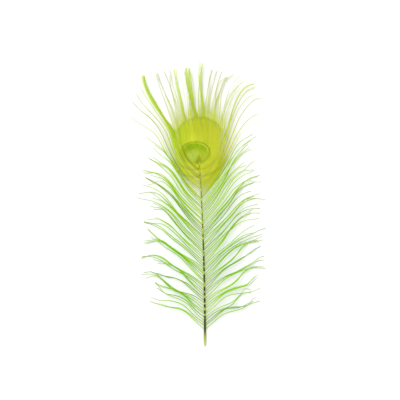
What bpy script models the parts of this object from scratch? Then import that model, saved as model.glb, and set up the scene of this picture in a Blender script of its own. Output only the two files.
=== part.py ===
"""One dyed peacock eye feather, lying face up on a table.

The feather grew as one piece, so it is one solid: a bare quill, a tapering shaft, the egg-shaped
eye, and the loose vane, whose barbs hang together in locks. Metres, +Z up. The shaft runs along
+Y, and the origin is on the table under the place where the bare quill becomes the barbed shaft.
"""

import math
import random

import bpy
import bmesh

MM = 0.001

# Driving dimensions, in metres
QUILL_LENGTH = 14 * MM  # bare quill below the origin
SHAFT_LENGTH = 214 * MM  # barbed shaft above the origin, fading out at the top of the eye
SHAFT_BOW = 8.6 * MM  # how far the shaft's tip stands to the left of the quill's line
QUILL_WIDTH = 2.6 * MM
SHAFT_TIP_WIDTH = 0.8 * MM
SHAFT_DEPTH_SHARE = 0.85  # the shaft's depth over its width
SHAFT_TAPER = 0.8  # below 1, the shaft thins fastest by the quill
SHAFT_RUNGS = 17  # stations along the barbed shaft
EYE_HEIGHT = 195 * MM  # the eye's widest place, up from the origin
EYE_HALF_WIDTH = 24 * MM
EYE_TOP = 21 * MM  # from the widest place up to the eye's rounded top
EYE_FOOT = 40 * MM  # and down to its pointed foot
EYE_THICKNESS = 1.6 * MM
EYE_LIFT = 1.0 * MM  # the eye's middle line above the table, where the shaft runs through it
EYE_CUP = 1.8 * MM  # its two halves rise by this much from there to the rim
EYE_SEGMENTS, EYE_RINGS = 36, 8
FAN_HEIGHT = 185 * MM  # the crown's locks end on a fan about this height on the shaft
LOCK_WIDTH = 3.2 * MM  # a lock of barbs at its widest
LOCK_DEPTH_SHARE = 0.32  # its depth over its width
LOCK_ROOT_SHARE = 0.55  # its width at the root, as a share of its widest
LOCK_TIP_SHARE = 0.22  # and at the tip
LIGHTEST_LOCK = 0.65  # the width of a lock of weight 0, as a share of LOCK_WIDTH
WEIGHT_GAIN = 0.5  # and how much a weight of 1 adds to it
LOOSE_WEIGHT = 0.4
LOOSE_ARCH = 5.0 * MM  # a loose lock arches this high before its tip comes down on the table
ARCH_POWER = 1.3  # above 1, the arch leaves the shaft and meets the table more gently
CROWN_TIP_HEIGHT = 4.2 * MM  # the crown's tips hover over the table about this high
CROWN_TIP_SWING = 2.6 * MM  # and lift or droop by this much in turn
SWING_RHYTHM, SWING_START = 5.3, 1.9  # radians for each half width of the eye, and at its middle

CROWN_LOCKS = 23  # across the crown, from flank to flank of the eye
LOOSE_LOCKS = 18  # on each side, down to the quill
CROWN_EDGE = 1.7  # the outermost crown lock, in half widths of the eye
LOOSE_FIRST = 7 * MM
LOOSE_LAST = 132 * MM
LEFT_STAGGER = 0.25  # the left side's locks start this share of a step higher
LEAST_RISE = 4 * MM  # from the root of a barb by the shaft's end to where it is said to cross
CROWN_ROOT_STEP = 4  # a lock inside the eye starts this many points short of its widest place
INSIDE_EYE = 0.9  # locks nearer the shaft than this start inside the eye
INNER_STRETCH = 1.15  # how far a barb swings out on its way round the eye
LINE_POINTS = 12  # along each half of a barb's line

# How much chance changes each lock: angles in degrees, reach, length and weight as shares
CROWN_SEED, LOOSE_SEED = 12, 5
FAN_CHANCE, TIP_CHANCE, TURN_CHANCE = 2, 9, 9
REACH_CHANCE = (0.93, 1.02)
WEIGHT_CHANCE = (0.3, 0.7)
LENGTH_CHANCE = (0.88, 1.04)

# How a barb runs, by its place across the eye: 0 is the shaft's own line, 1 the eye's rim.
# Heights are in metres up the shaft, angles in degrees outward from the shaft. On the left the
# crown's tips bend back up, and on the right they curl over.
ROOT_HEIGHT = [(0, 0.191), (0.1, 0.184), (0.25, 0.178), (0.5, 0.170), (0.75, 0.162), (1, 0.154),
               (1.7, 0.135)]
ROOT_ANGLE = [(0, 0), (0.1, 14), (0.25, 30), (0.5, 48), (0.75, 58), (1, 60), (1.7, 46)]
CROSSING_ANGLE = [(0, 0), (0.5, 4), (1, 13), (1.7, 30)]
FAN_ANGLE = [(0, 0), (0.5, 17), (1, 38), (1.7, 66)]
FAN_REACH = [(0, 0.084), (0.5, 0.086), (1, 0.090), (1.7, 0.077)]
LEFT_TIP_ANGLE = [(0, 10), (0.5, 10), (1, 14), (1.3, 38), (1.7, 62)]
RIGHT_TIP_ANGLE = [(0, 0), (0.5, 38), (0.75, 56), (1, 64), (1.4, 88), (1.7, 70)]

# How a loose barb runs, by the height of its root on the shaft, in metres
LOOSE_LENGTH = [(0, 0.070), (0.060, 0.080), (0.100, 0.086), (0.132, 0.092)]
LOOSE_ROOT_ANGLE = [(0, 52), (0.060, 44), (0.132, 45)]
LOOSE_MIDDLE_ANGLE = [(0, 62), (0.060, 50), (0.100, 38), (0.132, 30)]
LOOSE_TIP_ANGLE = [(0, 80), (0.060, 80), (0.100, 72), (0.132, 58)]
WAVE_LOW, WAVE_HIGH = 22, 5  # degrees of waviness by the quill and by the eye
WAVE_END = 0.6 * LOOSE_LAST  # the waviness fades out up to this height
WAVES = 1.4  # along a barb

# The heaviest locks of the crown, which the dye bath has stuck together: the place where each
# crosses the eye, the angle and reach of its tip on the fan, the angle its tip points in, and
# its weight, from 0 for a single strand to 1 for a thick lock. The left is negative.
HEAVY_LOCKS = [
    (-1.05, -37, 0.091, -6, 1.0),
    (-0.75, -27, 0.092, -17, 0.35),
    (-0.45, -17, 0.083, -8, 0.6),
    (-0.06, -9, 0.081, -12, 1.0),
    (0.30, 1, 0.086, 2, 0.9),
    (0.80, 25, 0.087, 58, 0.5),
    (1.15, 42, 0.086, 86, 0.9),
]

LIME = (0.47, 0.60, 0.06)
STRAW = (0.36, 0.33, 0.05)


def ladder(steps, at):
    """The value at a place, read off straight lines between the steps."""
    for (low, first), (high, second) in zip(steps, steps[1:]):
        if at <= high:
            return first + (second - first) * (max(at, low) - low) / (high - low)
    return steps[-1][1]


def smooth(share):
    share = min(max(share, 0), 1)
    return share * share * (3 - 2 * share)


def shaft_x(height):
    """The shaft bows to the left as it rises, on a parabola from the quill's end."""
    rise = (height + QUILL_LENGTH) / (SHAFT_LENGTH + QUILL_LENGTH)
    return -SHAFT_BOW * max(rise, 0) ** 2


def shaft_lean(height):
    """The shaft's own direction in degrees from +Y, positive to the right."""
    length = SHAFT_LENGTH + QUILL_LENGTH
    slope = -2 * SHAFT_BOW * (height + QUILL_LENGTH) / length**2
    return math.degrees(math.atan(slope))


def shaft_half_width(height):
    share = max(height, 0) / SHAFT_LENGTH
    return (QUILL_WIDTH + (SHAFT_TIP_WIDTH - QUILL_WIDTH) * share**SHAFT_TAPER) / 2


def shaft_line_height(height):
    """The shaft's middle is half its depth above the table, so its underside lies flat."""
    return shaft_half_width(height) * SHAFT_DEPTH_SHARE


def eye_surface(place):
    """The eye is a trough: its two halves rise from the shaft's line to the rim."""
    return EYE_LIFT + EYE_CUP * min(place**2, 1)


def arc(start, start_angle, end, end_angle, stretch=1.0):
    """A smooth line between two places in plan, leaving and arriving at the given angles."""
    span = math.dist(start, end) * stretch
    leave = [span * math.sin(math.radians(start_angle)), span * math.cos(math.radians(start_angle))]
    arrive = [span * math.sin(math.radians(end_angle)), span * math.cos(math.radians(end_angle))]
    line = []
    for i in range(LINE_POINTS + 1):
        s = i / LINE_POINTS
        weights = (2 * s**3 - 3 * s**2 + 1, s**3 - 2 * s**2 + s, 3 * s**2 - 2 * s**3, s**3 - s**2)
        controls = zip(start, leave, end, arrive)
        line.append([sum(w * c for w, c in zip(weights, axis)) for axis in controls])
    return line


def crown_locks():
    """Place, fan angle, reach, tip angle and weight of each lock of the crown, left to right."""
    chance = random.Random(CROWN_SEED)
    locks = []
    for i in range(CROWN_LOCKS):
        place = CROWN_EDGE * (2 * i / (CROWN_LOCKS - 1) - 1)
        side = math.copysign(1, place)
        tip_angles = LEFT_TIP_ANGLE if side < 0 else RIGHT_TIP_ANGLE
        fan = side * ladder(FAN_ANGLE, abs(place)) + chance.uniform(-FAN_CHANCE, FAN_CHANCE)
        reach = ladder(FAN_REACH, abs(place)) * chance.uniform(*REACH_CHANCE)
        tip = side * ladder(tip_angles, abs(place)) + chance.uniform(-TIP_CHANCE, TIP_CHANCE)
        locks.append((place, fan, reach, tip, chance.uniform(*WEIGHT_CHANCE)))
    for heavy in HEAVY_LOCKS:
        nearest = min(range(CROWN_LOCKS), key=lambda i: abs(locks[i][1] - heavy[1]))
        locks[nearest] = heavy
    return locks


def crown_line(place, fan, reach, tip_angle):
    """A barb of the eye in plan: from the shaft, round the eye's widest place, to the fan."""
    side = math.copysign(1, place)
    height = ladder(ROOT_HEIGHT, abs(place))
    middle = shaft_x(EYE_HEIGHT)
    turn = math.radians(fan)
    root = (shaft_x(height), height)
    crossing = (middle + place * EYE_HALF_WIDTH, max(EYE_HEIGHT, height + LEAST_RISE))
    tip = (middle + reach * math.sin(turn), FAN_HEIGHT + reach * math.cos(turn))
    root_angle = side * ladder(ROOT_ANGLE, abs(place)) + shaft_lean(height)
    crossing_angle = side * ladder(CROSSING_ANGLE, abs(place))
    inner = arc(root, root_angle, crossing, crossing_angle, INNER_STRETCH)
    outer = arc(crossing, crossing_angle, tip, tip_angle)
    return inner + outer[1:]


def loose_locks(side):
    """Root height, share of the full length, turn in degrees and phase of wave of each lock."""
    chance = random.Random(LOOSE_SEED + side)
    step = (LOOSE_LAST - LOOSE_FIRST) / (LOOSE_LOCKS - 1 + LEFT_STAGGER)
    locks = []
    for i in range(LOOSE_LOCKS):
        height = LOOSE_FIRST + step * (i + LEFT_STAGGER * (side < 0))
        share = chance.uniform(*LENGTH_CHANCE)
        locks.append((height, share, chance.uniform(-TURN_CHANCE, TURN_CHANCE), chance.random()))
    return locks


def loose_line(height, side, share, turn, phase):
    """A barb of the loose vane in plan: it leaves the shaft, spreads, and waves near the quill."""
    steps = 2 * LINE_POINTS
    step = share * ladder(LOOSE_LENGTH, height) / steps
    angles = [ladder(a, height) for a in (LOOSE_ROOT_ANGLE, LOOSE_MIDDLE_ANGLE, LOOSE_TIP_ANGLE)]
    wave = WAVE_LOW + (WAVE_HIGH - WAVE_LOW) * smooth(height / WAVE_END)
    x, y = shaft_x(height), height
    line = [[x, y]]
    for i in range(steps):
        s = (i + 0.5) / steps
        angle = angles[0] + (angles[1] - angles[0]) * smooth(2 * s)
        angle += (angles[2] - angles[1]) * smooth(2 * s - 1)
        angle += turn * s + wave * math.sin(2 * math.pi * (WAVES * s + phase)) * smooth(2 * s)
        heading = math.radians(side * angle + shaft_lean(height))
        x += step * math.sin(heading)
        y += step * math.cos(heading)
        line.append([x, y])
    return line


def crown_heights(count, place):
    """The eye's locks rise gently to its rim, and then lift or droop in turn."""
    root = shaft_line_height(ladder(ROOT_HEIGHT, abs(place)))
    crossing = eye_surface(place)
    tip = CROWN_TIP_HEIGHT + CROWN_TIP_SWING * math.sin(SWING_RHYTHM * place + SWING_START)
    heights = []
    for i in range(count):
        s = i / (count - 1)
        inner = root + (crossing - root) * smooth(2 * s)
        heights.append(inner + (tip - crossing) * smooth(2 * s - 1))
    return heights


def loose_heights(count, root, tip):
    """A loose lock arches up from the shaft and comes down to the table at its tip."""
    heights = []
    for i in range(count):
        s = i / (count - 1)
        straight = root + (tip - root) * s
        heights.append(straight + LOOSE_ARCH * math.sin(math.pi * s) ** ARCH_POWER)
    return heights


def lock_widths(count, weight):
    """Half widths along a lock: narrow at the root, widest at a third, thin at the tip."""
    widest = LOCK_WIDTH / 2 * (LIGHTEST_LOCK + WEIGHT_GAIN * weight)
    widths = []
    for i in range(count):
        s = i / (count - 1)
        swell = LOCK_ROOT_SHARE + (1 - LOCK_ROOT_SHARE) * smooth(3 * s)
        taper = 1 - (1 - LOCK_TIP_SHARE) * smooth((3 * s - 1) / 2)
        widths.append(widest * swell * taper)
    return widths


def material(name, colour, roughness):
    made = bpy.data.materials.new(name)
    made.use_nodes = True
    shader = made.node_tree.nodes["Principled BSDF"]
    shader.inputs["Base Color"].default_value = (*colour, 1)
    shader.inputs["Roughness"].default_value = roughness
    return made


def hide(guide):
    guide.hide_render = True
    guide.display_type = "WIRE"


def section(name, corners, collection):
    """A closed flat outline, one metre in half width, which a curve's bevel scales by its radius."""
    outline = bpy.data.curves.new(name, "CURVE")
    outline.dimensions = "2D"
    spline = outline.splines.new("POLY")
    spline.points.add(len(corners) - 1)
    for point, (x, y) in zip(spline.points, corners):
        point.co = (x, y, 0, 1)
    spline.use_cyclic_u = True
    guide = bpy.data.objects.new(name, outline)
    collection.objects.link(guide)
    hide(guide)
    return guide


def shaft_section(collection):
    """The shaft's outline: flat below, widest a little under its middle, flat along the top."""
    deep = SHAFT_DEPTH_SHARE
    half = [(0.55, -deep), (1, -0.3), (0.9, 0.45), (0.35, deep)]
    mirrored = [(-x, y) for x, y in reversed(half)]
    return section("shaft_section", half + mirrored, collection)


def lock_section(collection):
    """A lock's outline: a flat lens with sharp edges."""
    thin = LOCK_DEPTH_SHARE
    corners = [(1, 0), (0.5, thin), (-0.5, thin), (-1, 0), (-0.5, -thin), (0.5, -thin)]
    return section("lock_section", corners, collection)


def swept(name, line, heights, half_widths, outline, collection):
    """A mesh of the outline swept along a line, scaled at each point, with welded caps."""
    curve = bpy.data.curves.new(name, "CURVE")
    curve.dimensions = "3D"
    curve.twist_mode = "Z_UP"
    curve.bevel_mode = "OBJECT"
    curve.bevel_object = outline
    curve.use_fill_caps = True
    spline = curve.splines.new("POLY")
    spline.points.add(len(line) - 1)
    for point, (x, y), z, half in zip(spline.points, line, heights, half_widths):
        point.co = (x, y, z, 1)
        point.radius = half
    drawn = bpy.data.objects.new(name + "_line", curve)
    collection.objects.link(drawn)
    bpy.context.view_layer.update()
    graph = bpy.context.evaluated_depsgraph_get()
    mesh = bpy.data.meshes.new_from_object(drawn.evaluated_get(graph))
    bpy.data.objects.remove(drawn)
    shape = bmesh.new()
    shape.from_mesh(mesh)
    bmesh.ops.remove_doubles(shape, verts=shape.verts, dist=0.01 * MM)
    bmesh.ops.recalc_face_normals(shape, faces=shape.faces)
    shape.to_mesh(mesh)
    shape.free()
    made = bpy.data.objects.new(name, mesh)
    collection.objects.link(made)
    return made


def make_shaft(outline, collection):
    """Quill and shaft, in one sweep from the cut end of the quill to the top of the eye."""
    stations = [-QUILL_LENGTH, -0.6 * QUILL_LENGTH, 0]
    stations += [SHAFT_LENGTH * (i + 1) / SHAFT_RUNGS for i in range(SHAFT_RUNGS)]
    line = [(shaft_x(y), y) for y in stations]
    heights = [shaft_line_height(y) for y in stations]
    half_widths = [shaft_half_width(y) for y in stations]
    return swept("feather", line, heights, half_widths, outline, collection)


def make_eye(collection):
    """The eye: a thin lens with an egg-shaped outline, bent into a trough."""
    shape = bmesh.new()
    bmesh.ops.create_uvsphere(shape, u_segments=EYE_SEGMENTS, v_segments=EYE_RINGS, radius=1)
    middle = shaft_x(EYE_HEIGHT)
    for vert in shape.verts:
        across, along, through = vert.co
        length = EYE_TOP if along > 0 else EYE_FOOT
        vert.co.x = middle + across * EYE_HALF_WIDTH
        vert.co.y = EYE_HEIGHT + along * length
        vert.co.z = eye_surface(across) + through * EYE_THICKNESS / 2
    mesh = bpy.data.meshes.new("eye")
    shape.to_mesh(mesh)
    shape.free()
    made = bpy.data.objects.new("eye", mesh)
    collection.objects.link(made)
    return made


def make_crown_locks(outline, collection):
    """Locks of the crown and of the eye's flanks. Those inside the eye start within it."""
    for i, (place, fan, reach, tip_angle, weight) in enumerate(crown_locks()):
        line = crown_line(place, fan, reach, tip_angle)
        heights = crown_heights(len(line), place)
        first = LINE_POINTS - CROWN_ROOT_STEP if abs(place) < INSIDE_EYE else 0
        line = line[first::2]
        heights = heights[first::2]
        widths = lock_widths(len(line), weight)
        swept(f"crown_lock_{i + 1}", line, heights, widths, outline, collection)


def make_loose_locks(outline, collection):
    """Locks of the loose vane on both sides. The wavy ones near the quill keep more points."""
    for side, name in ((-1, "left"), (1, "right")):
        for i, (height, share, turn, phase) in enumerate(loose_locks(side)):
            every = 2 if height < LOOSE_LAST / 3 else 3
            line = loose_line(height, side, share, turn, phase)[::every]
            widths = lock_widths(len(line), LOOSE_WEIGHT)
            on_table = widths[-1] * LOCK_DEPTH_SHARE
            heights = loose_heights(len(line), shaft_line_height(height), on_table)
            swept(f"loose_lock_{name}_{i + 1}", line, heights, widths, outline, collection)


def main():
    for old in list(bpy.data.objects):
        bpy.data.objects.remove(old)
    scene = bpy.context.scene.collection
    feather_parts = bpy.data.collections.new("dyed_peacock_feather")
    growth = bpy.data.collections.new("grown_from_the_shaft")
    guides = bpy.data.collections.new("guides")
    for collection in (feather_parts, growth, guides):
        scene.children.link(collection)

    feather = make_shaft(shaft_section(guides), feather_parts)
    lock_outline = lock_section(guides)
    make_eye(growth)
    make_crown_locks(lock_outline, growth)
    make_loose_locks(lock_outline, growth)
    for grown in growth.objects:
        hide(grown)

    joined = feather.modifiers.new("grown_together", "BOOLEAN")
    joined.operation = "UNION"
    joined.solver = "EXACT"
    joined.operand_type = "COLLECTION"
    joined.collection = growth

    feather.data.materials.append(material("dyed_shaft", STRAW, 0.45))
    barbs = material("dyed_barbs", LIME, 0.7)
    for grown in growth.objects:
        grown.data.materials.append(barbs)


main()
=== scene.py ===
# %% [markdown]
# # A dyed peacock eye feather
#
# A feather is one thing that grew: a bare quill, a shaft that tapers away, and on both sides of
# the shaft the vane. The vane is made of barbs, which leave the shaft as twigs leave a branch, and
# each barb carries hundreds of barbules, the finest hairs. In the eye they hook into each other
# and close the vane; everywhere else they hang free. This one was bleached and dyed lime, and it
# lies face up on a white table.
#
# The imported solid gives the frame: how large the feather is and where it lies. It has the shaft,
# the eye as a plate and the vane as 59 thick locks. This script grows the real shaft, barbs and
# barbules in the same place. Metres, +Y along the shaft, +Z up.

# %% Load the solid
import functools
import itertools
import math
import random

import bpy
import numpy as np
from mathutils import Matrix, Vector


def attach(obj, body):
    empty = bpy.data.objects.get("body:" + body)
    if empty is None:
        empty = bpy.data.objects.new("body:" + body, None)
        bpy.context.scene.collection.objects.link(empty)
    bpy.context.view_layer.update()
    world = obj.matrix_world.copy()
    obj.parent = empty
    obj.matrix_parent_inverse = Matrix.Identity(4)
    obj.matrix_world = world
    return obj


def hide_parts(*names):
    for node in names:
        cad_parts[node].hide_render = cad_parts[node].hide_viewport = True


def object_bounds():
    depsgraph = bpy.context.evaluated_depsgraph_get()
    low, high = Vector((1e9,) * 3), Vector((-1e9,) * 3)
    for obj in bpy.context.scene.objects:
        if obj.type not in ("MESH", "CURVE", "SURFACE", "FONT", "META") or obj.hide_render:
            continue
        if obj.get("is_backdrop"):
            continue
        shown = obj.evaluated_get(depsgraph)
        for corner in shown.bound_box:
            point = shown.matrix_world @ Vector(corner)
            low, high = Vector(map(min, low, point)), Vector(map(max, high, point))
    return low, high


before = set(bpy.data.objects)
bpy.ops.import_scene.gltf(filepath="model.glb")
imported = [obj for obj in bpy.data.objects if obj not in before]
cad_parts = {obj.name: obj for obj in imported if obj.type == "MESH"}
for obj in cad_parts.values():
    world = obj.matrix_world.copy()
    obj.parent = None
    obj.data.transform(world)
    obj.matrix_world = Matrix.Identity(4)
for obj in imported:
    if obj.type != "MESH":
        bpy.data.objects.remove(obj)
solid_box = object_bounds()

# %% [markdown]
# ## The sizes that the feather grows from
#
# These are the solid's own driving dimensions, so that every barb starts on the shaft and ends
# where the solid's locks end. A place says where a barb crosses the eye at its widest: 0 is the
# shaft's own line, 1 the rim, and the left is negative.

# %% Driving dimensions
MM = 0.001
QUILL_LENGTH = 14 * MM
SHAFT_LENGTH = 214 * MM
SHAFT_BOW = 8.6 * MM
QUILL_WIDTH = 2.6 * MM
SHAFT_TIP_WIDTH = 0.8 * MM
SHAFT_DEPTH_SHARE = 0.85
SHAFT_TAPER = 0.8
EYE_HEIGHT = 195 * MM
EYE_HALF_WIDTH = 24 * MM
EYE_LIFT = 1.0 * MM
EYE_CUP = 1.8 * MM
FAN_HEIGHT = 185 * MM
LOCK_WIDTH = 3.2 * MM
LOCK_DEPTH_SHARE, LOCK_TIP_SHARE = 0.32, 0.22
LIGHTEST_LOCK, WEIGHT_GAIN = 0.65, 0.5
LOOSE_ARCH = 5.0 * MM
ARCH_POWER = 1.3
CROWN_TIP_HEIGHT = 4.2 * MM
CROWN_TIP_SWING = 2.6 * MM
SWING_RHYTHM, SWING_START = 5.3, 1.9
CROWN_LOCKS, LOOSE_LOCKS = 23, 18
CROWN_EDGE = 1.7
LOOSE_FIRST, LOOSE_LAST = 7 * MM, 132 * MM
LEFT_STAGGER = 0.25
LEAST_RISE = 4 * MM
INNER_STRETCH = 1.15
LINE_POINTS = 20
CROWN_SEED, LOOSE_SEED = 12, 5

ROOT_HEIGHT = [(0, 0.191), (0.1, 0.184), (0.25, 0.178), (0.5, 0.170), (0.75, 0.162), (1, 0.154),
               (1.7, 0.135)]
ROOT_ANGLE = [(0, 0), (0.1, 14), (0.25, 30), (0.5, 48), (0.75, 58), (1, 60), (1.7, 46)]
CROSSING_ANGLE = [(0, 0), (0.5, 4), (1, 13), (1.7, 30)]
FAN_ANGLE = [(0, 0), (0.5, 17), (1, 38), (1.7, 66)]
FAN_REACH = [(0, 0.084), (0.5, 0.086), (1, 0.090), (1.7, 0.077)]
TIP_ANGLE = {
    -1: [(0, 10), (0.5, 10), (1, 14), (1.3, 38), (1.7, 62)],
    1: [(0, 0), (0.5, 38), (0.75, 56), (1, 64), (1.4, 88), (1.7, 70)],
}
LOOSE_LENGTH = [(0, 0.070), (0.060, 0.080), (0.100, 0.086), (0.132, 0.092)]
LOOSE_ROOT_ANGLE = [(0, 52), (0.060, 44), (0.132, 45)]
LOOSE_MIDDLE_ANGLE = [(0, 62), (0.060, 50), (0.100, 38), (0.132, 30)]
LOOSE_TIP_ANGLE = [(0, 80), (0.060, 80), (0.100, 72), (0.132, 58)]
WAVE_LOW, WAVE_HIGH = 22, 5
WAVE_END = 0.6 * LOOSE_LAST
WAVES = 1.4

# Place, fan angle, reach, tip angle and weight of the locks that the dye bath stuck together
HEAVY_LOCKS = [
    (-1.05, -37, 0.091, -6, 1.0),
    (-0.75, -27, 0.092, -17, 0.35),
    (-0.45, -17, 0.083, -8, 0.6),
    (-0.06, -9, 0.081, -12, 1.0),
    (0.30, 1, 0.086, 2, 0.9),
    (0.80, 25, 0.087, 58, 0.5),
    (1.15, 42, 0.086, 86, 0.9),
]

# %% [markdown]
# ## How a barb grows
#
# A barb of the eye leaves the shaft, swings out round the widest place of the eye and ends on a
# fan. A loose barb leaves the shaft at about 45 degrees, spreads, and near the quill waves from
# side to side. Each could be a curve object, but hundreds of them are wanted, so a barb's line is
# worked out in plan with a few rules, the same ones as in the solid, and gets its heights after.

# %% Rules of growth
STEPS = np.linspace(0, 1, 2 * LINE_POINTS + 1)  # along a barb, from root to tip


def ladder(steps, at):
    """The value at a place, read off straight lines between the steps."""
    for (low, first), (high, second) in zip(steps, steps[1:]):
        if at <= high:
            return first + (second - first) * (max(at, low) - low) / (high - low)
    return steps[-1][1]


def smooth(share):
    share = np.clip(share, 0, 1)
    return share * share * (3 - 2 * share)


def shaft_x(height):
    rise = (height + QUILL_LENGTH) / (SHAFT_LENGTH + QUILL_LENGTH)
    return -SHAFT_BOW * np.maximum(rise, 0) ** 2


def shaft_lean(height):
    length = SHAFT_LENGTH + QUILL_LENGTH
    return math.degrees(math.atan(-2 * SHAFT_BOW * (height + QUILL_LENGTH) / length**2))


def shaft_half_width(height):
    share = np.clip(height / SHAFT_LENGTH, 0, 1)
    return (QUILL_WIDTH + (SHAFT_TIP_WIDTH - QUILL_WIDTH) * share**SHAFT_TAPER) / 2


def shaft_line_height(height):
    return shaft_half_width(height) * SHAFT_DEPTH_SHARE


def arc(start, start_angle, end, end_angle, stretch=1.0):
    """A smooth line between two places in plan, leaving and arriving at the given angles."""
    s = np.linspace(0, 1, LINE_POINTS + 1)[:, None]
    span = math.dist(start, end) * stretch
    leave, arrive = [
        span * np.array([math.sin(math.radians(a)), math.cos(math.radians(a))])
        for a in (start_angle, end_angle)
    ]
    bend = (2 * s**3 - 3 * s**2 + 1) * start + (3 * s**2 - 2 * s**3) * end
    return bend + (s**3 - 2 * s**2 + s) * leave + (s**3 - s**2) * arrive


def crown_line(place, fan, reach, tip_angle):
    side = math.copysign(1, place)
    height = ladder(ROOT_HEIGHT, abs(place))
    middle = shaft_x(EYE_HEIGHT)
    turn = math.radians(fan)
    root = np.array([shaft_x(height), height])
    crossing = np.array([middle + place * EYE_HALF_WIDTH, max(EYE_HEIGHT, height + LEAST_RISE)])
    tip = np.array([middle + reach * math.sin(turn), FAN_HEIGHT + reach * math.cos(turn)])
    root_angle = side * ladder(ROOT_ANGLE, abs(place)) + shaft_lean(height)
    crossing_angle = side * ladder(CROSSING_ANGLE, abs(place))
    inner = arc(root, root_angle, crossing, crossing_angle, INNER_STRETCH)
    return np.vstack([inner, arc(crossing, crossing_angle, tip, tip_angle)[1:]])


def loose_line(height, side, share, turn, phase):
    steps = 2 * LINE_POINTS
    step = share * ladder(LOOSE_LENGTH, height) / steps
    first, middle, last = [
        ladder(a, height) for a in (LOOSE_ROOT_ANGLE, LOOSE_MIDDLE_ANGLE, LOOSE_TIP_ANGLE)
    ]
    wave = WAVE_LOW + (WAVE_HIGH - WAVE_LOW) * smooth(height / WAVE_END)
    s = (np.arange(steps) + 0.5) / steps
    angle = first + (middle - first) * smooth(2 * s) + (last - middle) * smooth(2 * s - 1)
    angle += turn * s + wave * np.sin(2 * math.pi * (WAVES * s + phase)) * smooth(2 * s)
    heading = np.radians(side * angle + shaft_lean(height))
    moves = step * np.column_stack([np.sin(heading), np.cos(heading)])
    return np.vstack([[0, 0], np.cumsum(moves, axis=0)]) + [shaft_x(height), height]


def crown_heights(place):
    root = shaft_line_height(ladder(ROOT_HEIGHT, abs(place)))
    crossing = EYE_LIFT + EYE_CUP * min(place**2, 1)
    tip = CROWN_TIP_HEIGHT + CROWN_TIP_SWING * math.sin(SWING_RHYTHM * place + SWING_START)
    out, on = smooth(2 * STEPS), smooth(2 * STEPS - 1)
    return root + (crossing - root) * out + (tip - crossing) * on


def loose_heights(root, tip):
    return root + (tip - root) * STEPS + LOOSE_ARCH * np.sin(math.pi * STEPS) ** ARCH_POWER


# %% [markdown]
# ## Locks
#
# Wet barbs cling to each other, and they dry that way, so a feather from the dye bath hangs in
# locks. The solid's locks are drawn again here, with the same chances.

# %% The solid's locks, drawn again
FAN_CHANCE, TURN_CHANCE = 2, 9  # degrees to either side
REACH_CHANCE, SHARE_CHANCE, WEIGHT_CHANCE = (0.93, 1.02), (0.88, 1.04), (0.3, 0.7)


def course(place, side):
    """The fan angle, reach and tip angle that go with a place."""
    fan, tip = [side * ladder(steps, abs(place)) for steps in (FAN_ANGLE, TIP_ANGLE[side])]
    return fan, ladder(FAN_REACH, abs(place)), tip


def crown_locks():
    chance = random.Random(CROWN_SEED)
    locks = []
    for i in range(CROWN_LOCKS):
        place = CROWN_EDGE * (2 * i / (CROWN_LOCKS - 1) - 1)
        fan, reach, tip = course(place, math.copysign(1, place))
        fan += chance.uniform(-FAN_CHANCE, FAN_CHANCE)
        reach *= chance.uniform(*REACH_CHANCE)
        tip += chance.uniform(-TURN_CHANCE, TURN_CHANCE)
        locks.append((place, fan, reach, tip, chance.uniform(*WEIGHT_CHANCE)))
    for heavy in HEAVY_LOCKS:
        nearest = min(range(CROWN_LOCKS), key=lambda i: abs(locks[i][1] - heavy[1]))
        locks[nearest] = heavy
    return locks


def loose_locks(side):
    chance = random.Random(LOOSE_SEED + side)
    step = (LOOSE_LAST - LOOSE_FIRST) / (LOOSE_LOCKS - 1 + LEFT_STAGGER)
    locks = []
    for i in range(LOOSE_LOCKS):
        height = LOOSE_FIRST + step * (i + LEFT_STAGGER * (side < 0))
        share = chance.uniform(*SHARE_CHANCE)
        turn = chance.uniform(-TURN_CHANCE, TURN_CHANCE)
        locks.append((height, share, turn, chance.random()))
    return locks


print("locks:", len(crown_locks()), "in the crown and", len(loose_locks(1)), "on each side below")

# %% [markdown]
# ## Barbs
#
# Each barb gets a line of its own, a tone, because dye takes better on some barbs than on others,
# and a weight, that of its lock. Some barbs left of the pupil also carry painted shade in their
# tone, for the shadowed gap between the disc and its left flank. Barbs cling together at two
# scales. Two to five neighbours make a tuft, hardly a millimetre wide, and tufts are drawn to the
# locks, hard to a heavy one and hardly to a light one. Inside the eye the barbs lie side by side;
# they gather only beyond its rim.

# %% Helpers for tufts
LEAST_HEIGHT = 0.25 * MM  # of a barb's middle line over the table

# Heavy locks by their place: from where to where they take in barbs, how much of the lime dye they
# kept, and half widths in mm at the rim, half way, near the tip and at the tip
HELD = {
    -1.05: (-1.06, -0.89, 1.0, (0.9, 1.9, 1.3, 0.6)),
    -0.45: (-0.45, -0.37, 1.0, (0.7, 1.0, 1.2, 0.5)),
    -0.06: (-0.15, 0.02, 1.0, (0.7, 1.8, 2.8, 1.9)),
    0.30: (0.15, 0.26, 0.9, (0.7, 1.2, 1.9, 1.3)),
    1.15: (1.02, 1.09, 0.5, (0.6, 0.8, 1.3, 0.5)),
}
FORM_STEPS = (0.66, 0.8, 0.91, 1.0)
LOCK_THINS = 0.6  # a light lock's width that is gone at its tip


def from_to(start, end):
    """0 up to a start along the barb, 1 from an end on, and smooth between them."""
    return smooth((STEPS - start) / (end - start))


def side_of(line):
    """The direction to the right of a line in plan, at each of its points."""
    along = np.gradient(line, axis=0)
    along /= np.linalg.norm(along, axis=1)[:, None]
    return np.column_stack([along[:, 1], -along[:, 0]])


def gathered(line, spine, aside, hold):
    """A line drawn to a place beside a spine: hold is 0 where it is free and 1 where it is held."""
    held = spine + side_of(spine) * np.broadcast_to(aside, len(spine))[:, None]
    return line + (held - line) * hold[:, None]


def bent(line, chance, sizes, waves, start):
    """A line that swings from side to side by some mm, ever more from start to its tip."""
    size, wave, phase = chance.uniform(*sizes) * MM, chance.uniform(*waves), chance.random()
    swing = size * np.sin(2 * math.pi * (wave * STEPS + phase)) * from_to(start, 1)
    return line + side_of(line) * swing[:, None]


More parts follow.
